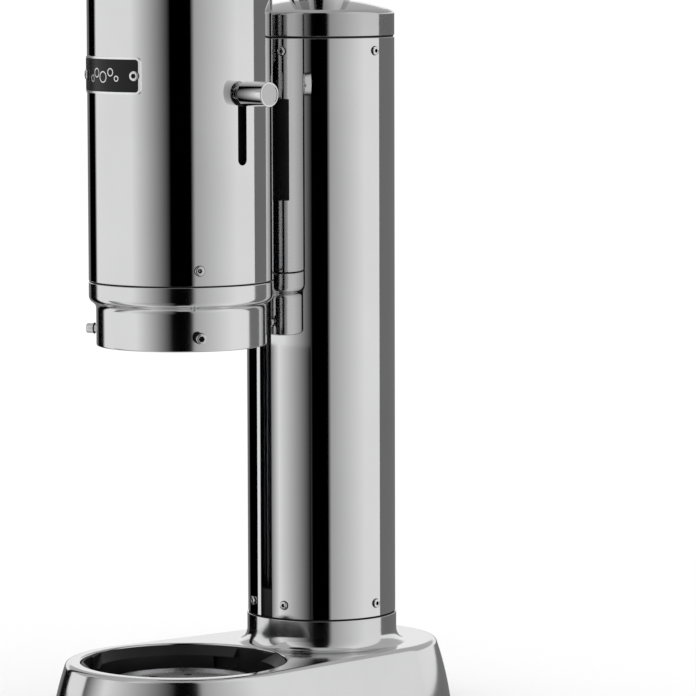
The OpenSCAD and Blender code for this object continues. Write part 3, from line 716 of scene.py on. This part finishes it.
def all_screws():
    small, medium, height, sunk = 2.65 * MM, 2.95 * MM, 1.5 * MM, 0.05 * MM
    for node in ("tower_foot_screws", "tower_top_screws"):
        places = [outward(TOWER, a, TOWER_R - sunk, middle(node).z) for a in TOWER_SCREW_ANGLES]
        screws(node + "_turned", node, "stand", places, small, height)
    for node in ("collar_screws", "head_cap_screws"):
        places = [outward(HEAD, a, HEAD_R - sunk, middle(node).z) for a in BAYONET_ANGLES]
        screws(node + "_turned", node, "head", places, medium, height)
    angles = (BADGE_ANGLE - BADGE_SCREW_ANGLE, BADGE_ANGLE + BADGE_SCREW_ANGLE)
    z = middle("badge_screws").z
    places = [outward(HEAD, a, HEAD_R + 0.72 * MM, z) for a in angles]
    screws("badge_screws_turned", "badge_screws", "head", places, 3.1 * MM, 1.4 * MM,
           shank_l=2.5 * MM)


def lock_pins():
    """Bayonet pins: long round heads with a deep socket, on a thinner shank."""
    length, start_r = 5 * MM, 57.4 * MM
    z = middle("lock_pins").z
    bm = bmesh.new()
    for a in BAYONET_ANGLES:
        place = outward(HEAD, a, start_r, z)
        socket_head(bm, place, 3.1 * MM, length, 1.75 * MM, 2.4 * MM, 2.4 * MM,
                    start_r - COLLAR_R + 0.3 * MM, dome=0.12)
    piece = make("lock_pins_turned", bm, "head", "screw_steel", "lock_pins", smooth=30)
    piece.data.materials.append(MATERIALS["screw_shade"])


def handle():
    """Side handle: a stem with a shoulder, and a round knob with a fine raised rim on its face."""
    z = HANDLE.z
    r, length = (high("handle_knob").z - low("handle_knob").z) / 2, 21.3 * MM
    knob_start, stem_start = HEAD_R + 3.4 * MM, 51.4 * MM
    rim, dish = 1.1 * MM, 0.35 * MM
    outline = fillet([
        (0, 1 * MM), (3.2 * MM, 1 * MM), (3.2 * MM, 0), (r, 0, 0.5 * MM), (r, length, 0.5 * MM),
        (r - rim, length, 0.2 * MM), (r - rim - 0.3 * MM, length - dish, 0.2 * MM), (0, length - dish)
    ])
    place = outward(HEAD, HANDLE_ANGLE, knob_start, z)
    knob = make("handle_knob_polished", turned(bmesh.new(), outline, place, 128), "carrier",
                "polished_steel", "handle_knob")
    knob.data.materials.append(MATERIALS["turned_steel"])
    facing = place.to_3x3() @ Vector((0, 0, 1))
    for face in knob.data.polygons:
        off_axis = facing.cross(face.center - place.translation).length
        if face.normal.dot(facing) > 0.99 and off_axis < r - rim:
            face.material_index = 1
    even_normals(knob)
    shoulder, face = HEAD_R + 0.4 * MM - stem_start, knob_start - stem_start
    outline = fillet([
        (0, 0), (3.2 * MM, 0, 0.4 * MM), (3.2 * MM, shoulder), (4.6 * MM, shoulder, 0.3 * MM),
        (4.6 * MM, face, 0.2 * MM), (3.1 * MM, face), (3.1 * MM, 16 * MM), (0, 16 * MM)
    ])
    place = outward(HEAD, HANDLE_ANGLE, stem_start, z)
    even_normals(make("handle_stem_polished", turned(bmesh.new(), outline, place, 96), "carrier",
                      "screw_steel", "handle_stem"))


# ---------- badge ----------

def rounded_prism(name, place, width, height, corner, depth):
    """A prism with rounded corners that cuts the badge's outline."""
    steps = 10
    outline = []
    for cx, cy, first in ((1, 1, 0), (-1, 1, 1), (-1, -1, 2), (1, -1, 3)):
        for k in range(steps + 1):
            angle = math.pi / 2 * (first + k / steps)
            outline.append((cx * (width / 2 - corner) + corner * math.cos(angle),
                            cy * (height / 2 - corner) + corner * math.sin(angle)))
    bm = bmesh.new()
    bottom = [bm.verts.new(place @ Vector((-y, x, -depth))) for x, y in outline]
    top = [bm.verts.new(place @ Vector((-y, x, depth))) for x, y in outline]
    bridge(bm, bottom, top)
    bm.faces.new(bottom)
    bm.faces.new(list(reversed(top)))
    return make(name, bm, None, "inner_plastic")


def badge():
    """Frame and enamel plate bent round the head, with a mark of plain rising bubbles."""
    lo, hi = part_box("badge_frame")
    z = middle("badge_frame").z
    height = hi.z - lo.z
    width, frame_w, back_r = 57 * MM, 1.3 * MM, HEAD_R + 0.02 * MM
    place = outward(HEAD, BADGE_ANGLE, HEAD_R, z)

    def bent(name, slot, node, w, h, corner, rise, hole=None, finish=None):
        front_r = HEAD_R + rise
        shell = [(back_r, lo.z - MM), (front_r, lo.z - MM), (front_r, hi.z + MM),
                 (back_r, hi.z + MM)]
        piece = make(name, turned(bmesh.new(), shell, upright(HEAD), 360), "head", slot, node,
                     finish=finish)
        boolean(piece, rounded_prism("badge_cutter", place, w, h, corner, 12 * MM), "INTERSECT")
        if hole:
            boolean(piece, rounded_prism("badge_hole", place, *hole, 14 * MM), "DIFFERENCE")
        round_normals(piece, HEAD, (back_r, front_r))

    inner_w, inner_h, inner_corner, gap = width - 2 * frame_w, height - 2 * frame_w, 2 * MM, 0.1 * MM
    bent("badge_frame_bent", "screw_steel", "badge_frame", width, height, 3.2 * MM, 1 * MM,
         (inner_w, inner_h, inner_corner), "frame_steel")
    bent("badge_plate_bent", "badge_paint", "badge_plate", inner_w - gap, inner_h - gap,
         inner_corner, 0.7 * MM)
    # each bubble: how far along and up from the badge's middle, and its radius, in mm
    bubbles = [(-13, -2.2, 2.4), (-7.4, 1.4, 3), (-0.4, -1, 3.6), (6.6, 2, 2.6), (11.6, -1.8, 1.9)]
    line, rise = 0.75 * MM, 0.25 * MM
    bm = bmesh.new()
    for along, up, size in bubbles:
        spot = outward(HEAD, BADGE_ANGLE + along * MM / HEAD_R, HEAD_R + 0.6 * MM, z + up * MM)
        r = size * MM
        ring = fillet([(r - line, 0), (r, 0), (r, rise, 0.1 * MM), (r - line, rise, 0.1 * MM)], 2)
        turned(bm, ring, spot, 48)
    make("badge_mark", bm, "head", "screw_steel")


# ---------- springs and tape ------------------------------------------

def stretched(name, bm, node):
    """A sprung piece in spring steel, fixed in place, that stands for its CAD node."""
    piece = make(name, bm, None, "spring_steel")
    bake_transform(piece)
    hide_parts(node)


def springs():
    lo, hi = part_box("return_springs")
    bm = bmesh.new()
    for y in (-SPRING_SIDE, SPRING_SIDE):
        path = coil_path((0, HEAD.y + y), 4.4 * MM, lo.z + 0.6 * MM, hi.z - 0.6 * MM, 15)
        swept(bm, path, 0.6 * MM, 8)
    stretched("return_springs_wound", bm, "return_springs")
    lo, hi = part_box("nozzle_spring")
    path = coil_path((0, HEAD.y), 10 * MM, lo.z + 0.7 * MM, hi.z - 0.7 * MM, 4)
    stretched("nozzle_spring_wound", swept(bmesh.new(), path, 0.7 * MM, 8), "nozzle_spring")


def spring_tape():
    """Flat steel strip from the drum down to the carriage, cut into lengths."""
    lo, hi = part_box("spring_tape")
    bm = bmesh.new()
    steps = 24
    loops = []
    for k in range(steps + 1):
        z = lo.z + (hi.z - lo.z) * k / steps
        loops.append([bm.verts.new((x, y, z)) for x, y in
                      ((lo.x, lo.y), (hi.x, lo.y), (hi.x, hi.y), (lo.x, hi.y))])
    for loop, other in zip(loops, loops[1:]):
        bridge(bm, loop, other)
    bm.faces.new(loops[0])
    bm.faces.new(list(reversed(loops[-1])))
    stretched("spring_tape_strip", bm, "spring_tape")


def main():
    finish_cad_nodes()
    head_tube()
    head_collar()
    head_cap()
    tower_tube()
    tower_lid()
    lid_knob()
    base_shell()
    seam_shade_rings()
    all_screws()
    lock_pins()
    handle()
    badge()
    springs()
    spring_tape()


# ---------- studio ----------

VIEW_AZIMUTH = math.radians(48)
CAMERA_BACK = 2.7016           # from the head's axis towards the viewer
CAMERA_SIDE = 0.1037
CAMERA_HEIGHT = 0.5020
CAMERA_PITCH = math.radians(5.52)
CAMERA_ROLL = math.radians(-0.15)
CAMERA_LENS = 225.2
BACK = Vector((math.sin(VIEW_AZIMUTH), -math.cos(VIEW_AZIMUTH), 0))
RIGHT = Vector((math.cos(VIEW_AZIMUTH), math.sin(VIEW_AZIMUTH), 0))


def camera():
    data = bpy.data.cameras.new("camera")
    data.lens = CAMERA_LENS
    data.sensor_width = 36
    view = bpy.data.objects.new("camera", data)
    bpy.context.scene.collection.objects.link(view)
    place = HEAD + CAMERA_BACK * BACK + CAMERA_SIDE * RIGHT + Vector((0, 0, CAMERA_HEIGHT))
    turn = Matrix.Rotation(VIEW_AZIMUTH, 4, "Z") @ Matrix.Rotation(math.pi / 2 - CAMERA_PITCH, 4, "X")
    view.matrix_world = Matrix.Translation(place) @ turn @ Matrix.Rotation(CAMERA_ROLL, 4, "Z")
    bpy.context.scene.camera = view


# Soft boxes and the dark gaps between them, on walls that stand round the object. Each stop is an
# angle from the camera's side, growing towards the camera's right, and a brightness
NEAR_CARDS = [(-60, 1), (-10, 0), (15, 0), (20, 0.5), (75, 1), (105, 1)]
FAR_CARDS = [(100, 0.2), (205, 0.2), (210, 0), (230, 0), (235, 1), (300, 1)]
LOW_CARDS = [(-85, 0), (-65, 1), (-15, 0)]
FLAG_ENDS = (-0.3, -0.4), (-0.75, -0.6)     # a black flag, (towards the camera, to its right)
NEAR_R = 1.4
FAR_R = 20
LOW_R = 0.45                                # this wall is round the tower
LOW_TOP = 0.2
SILL = 0.4         # height on the far wall where its pattern gives way to even white
ABOVE_SILL = 1.05
WALL_PARTS = 96    # flat pieces in a curved wall


def glow_material(name, cards, sill=None):
    """Light of a wall by its width, 0 to 1 in its UV map, and even white above the sill."""
    material = bpy.data.materials.new(name)
    material.use_nodes = True
    tree = material.node_tree
    tree.nodes.clear()
    place = tree.nodes.new("ShaderNodeUVMap")
    split = tree.nodes.new("ShaderNodeSeparateXYZ")
    ramp = tree.nodes.new("ShaderNodeValToRGB")
    glow = tree.nodes.new("ShaderNodeEmission")
    output = tree.nodes.new("ShaderNodeOutputMaterial")
    tree.links.new(place.outputs["UV"], split.inputs[0])
    tree.links.new(split.outputs["X"], ramp.inputs[0])
    tree.links.new(glow.outputs[0], output.inputs[0])
    first, last = cards[0][0], cards[-1][0]
    stops = ramp.color_ramp.elements
    for degrees, _ in cards[1:-1]:
        stops.new((degrees - first) / (last - first))
    for stop, (_, value) in zip(stops, cards):
        stop.color = (value, value, value, 1)
    colour = ramp.outputs["Color"]
    if sill:
        above = tree.nodes.new("ShaderNodeMath")
        above.operation = "GREATER_THAN"
        above.inputs[1].default_value = sill
        mix = tree.nodes.new("ShaderNodeMix")
        mix.data_type = "RGBA"
        mix.inputs["B"].default_value = (ABOVE_SILL, ABOVE_SILL, ABOVE_SILL, 1)
        tree.links.new(split.outputs["Y"], above.inputs[0])
        tree.links.new(above.outputs[0], mix.inputs["Factor"])
        tree.links.new(colour, mix.inputs["A"])
        colour = mix.outputs["Result"]
    tree.links.new(colour, glow.inputs["Color"])
    return material


def wall(name, points, low_z, high_z, material):
    """An upright wall over a line of floor points, which only reflections see."""
    bm = bmesh.new()
    uv = bm.loops.layers.uv.new("UVMap")
    loops = [[bm.verts.new((x, y, z)) for x, y in points] for z in (low_z, high_z)]
    for k in range(len(points) - 1):
        face = bm.faces.new([loops[0][k], loops[0][k + 1], loops[1][k + 1], loops[1][k]])
        for loop, u, v in zip(face.loops, (k, k + 1, k + 1, k), (low_z, low_z, high_z, high_z)):
            loop[uv].uv = (u / (len(points) - 1), v)
    mesh = bpy.data.meshes.new(name)
    bm.to_mesh(mesh)
    bm.free()
    mesh.materials.append(material)
    standing = bpy.data.objects.new(name, mesh)
    bpy.context.scene.collection.objects.link(standing)
    for flag in ("visible_camera", "visible_diffuse", "visible_transmission", "visible_shadow",
                 "visible_volume_scatter"):
        setattr(standing, flag, False)


def around(degrees, r, centre):
    """A floor point at a distance and an angle from the camera's side."""
    angle = math.radians(degrees)
    spot = centre + r * (math.cos(angle) * BACK + math.sin(angle) * RIGHT)
    return spot.x, spot.y


def curved_wall(name, cards, r, low_z, high_z, sill=None, centre=HEAD):
    first, last = cards[0][0], cards[-1][0]
    points = [around(first + (last - first) * k / WALL_PARTS, r, centre)
              for k in range(WALL_PARTS + 1)]
    wall(name, points, low_z, high_z, glow_material(name, cards, sill))


def light_walls():
    curved_wall("near_cards", NEAR_CARDS, NEAR_R, -2, 3)
    curved_wall("far_cards", FAR_CARDS, FAR_R, -12, 5, SILL)
    curved_wall("low_cards", LOW_CARDS, LOW_R, -0.6, LOW_TOP, centre=TOWER)
    black = glow_material("black_flag", [(0, 0), (1, 0)])
    ends = [(HEAD + b * BACK + r * RIGHT).xy for b, r in FLAG_ENDS]
    wall("black_flag", ends, -0.6, 0.7, black)


def floor():
    """Round pale floor, wide enough to have no edge in view, that the steel doesn't reflect."""
    bm = bmesh.new()
    bm.faces.new(ring_loop(bm, Vector((0, 0, 0)), 30, 0, 64))
    material, shader = new_material("pale_floor")
    shader.inputs["Base Color"].default_value = (0.9, 0.9, 0.9, 1)
    shader.inputs["Roughness"].default_value = 0.6
    shader.inputs["Specular IOR Level"].default_value = 0
    mesh = bpy.data.meshes.new("pale_floor")
    bm.to_mesh(mesh)
    bm.free()
    mesh.materials.append(material)
    plane = bpy.data.objects.new("pale_floor", mesh)
    bpy.context.scene.collection.objects.link(plane)
    plane.visible_glossy = False


def sky():
    """White for the camera, soft light for matt surfaces, mid grey above and below for gloss."""
    world = bpy.data.worlds.new("studio")
    bpy.context.scene.world = world
    world.use_nodes = True
    tree = world.node_tree
    tree.nodes.clear()
    path = tree.nodes.new("ShaderNodeLightPath")
    output = tree.nodes.new("ShaderNodeOutputWorld")

    def background(value):
        node = tree.nodes.new("ShaderNodeBackground")
        node.inputs["Color"].default_value = (value, value, value, 1)
        return node

    def choose(flag, otherwise, chosen):
        mix = tree.nodes.new("ShaderNodeMixShader")
        tree.links.new(path.outputs[flag], mix.inputs[0])
        tree.links.new(otherwise.outputs[0], mix.inputs[1])
        tree.links.new(chosen.outputs[0], mix.inputs[2])
        return mix

    soft = background(1.15)
    gloss = choose("Is Glossy Ray", soft, background(0.56))
    seen = choose("Is Camera Ray", gloss, background(1.0))
    tree.links.new(seen.outputs[0], output.inputs[0])


def studio():
    camera()
    light_walls()
    floor()
    sky()
    settings = bpy.context.scene.view_settings
    settings.view_transform = "Standard"
    settings.look = "None"


studio()
main()
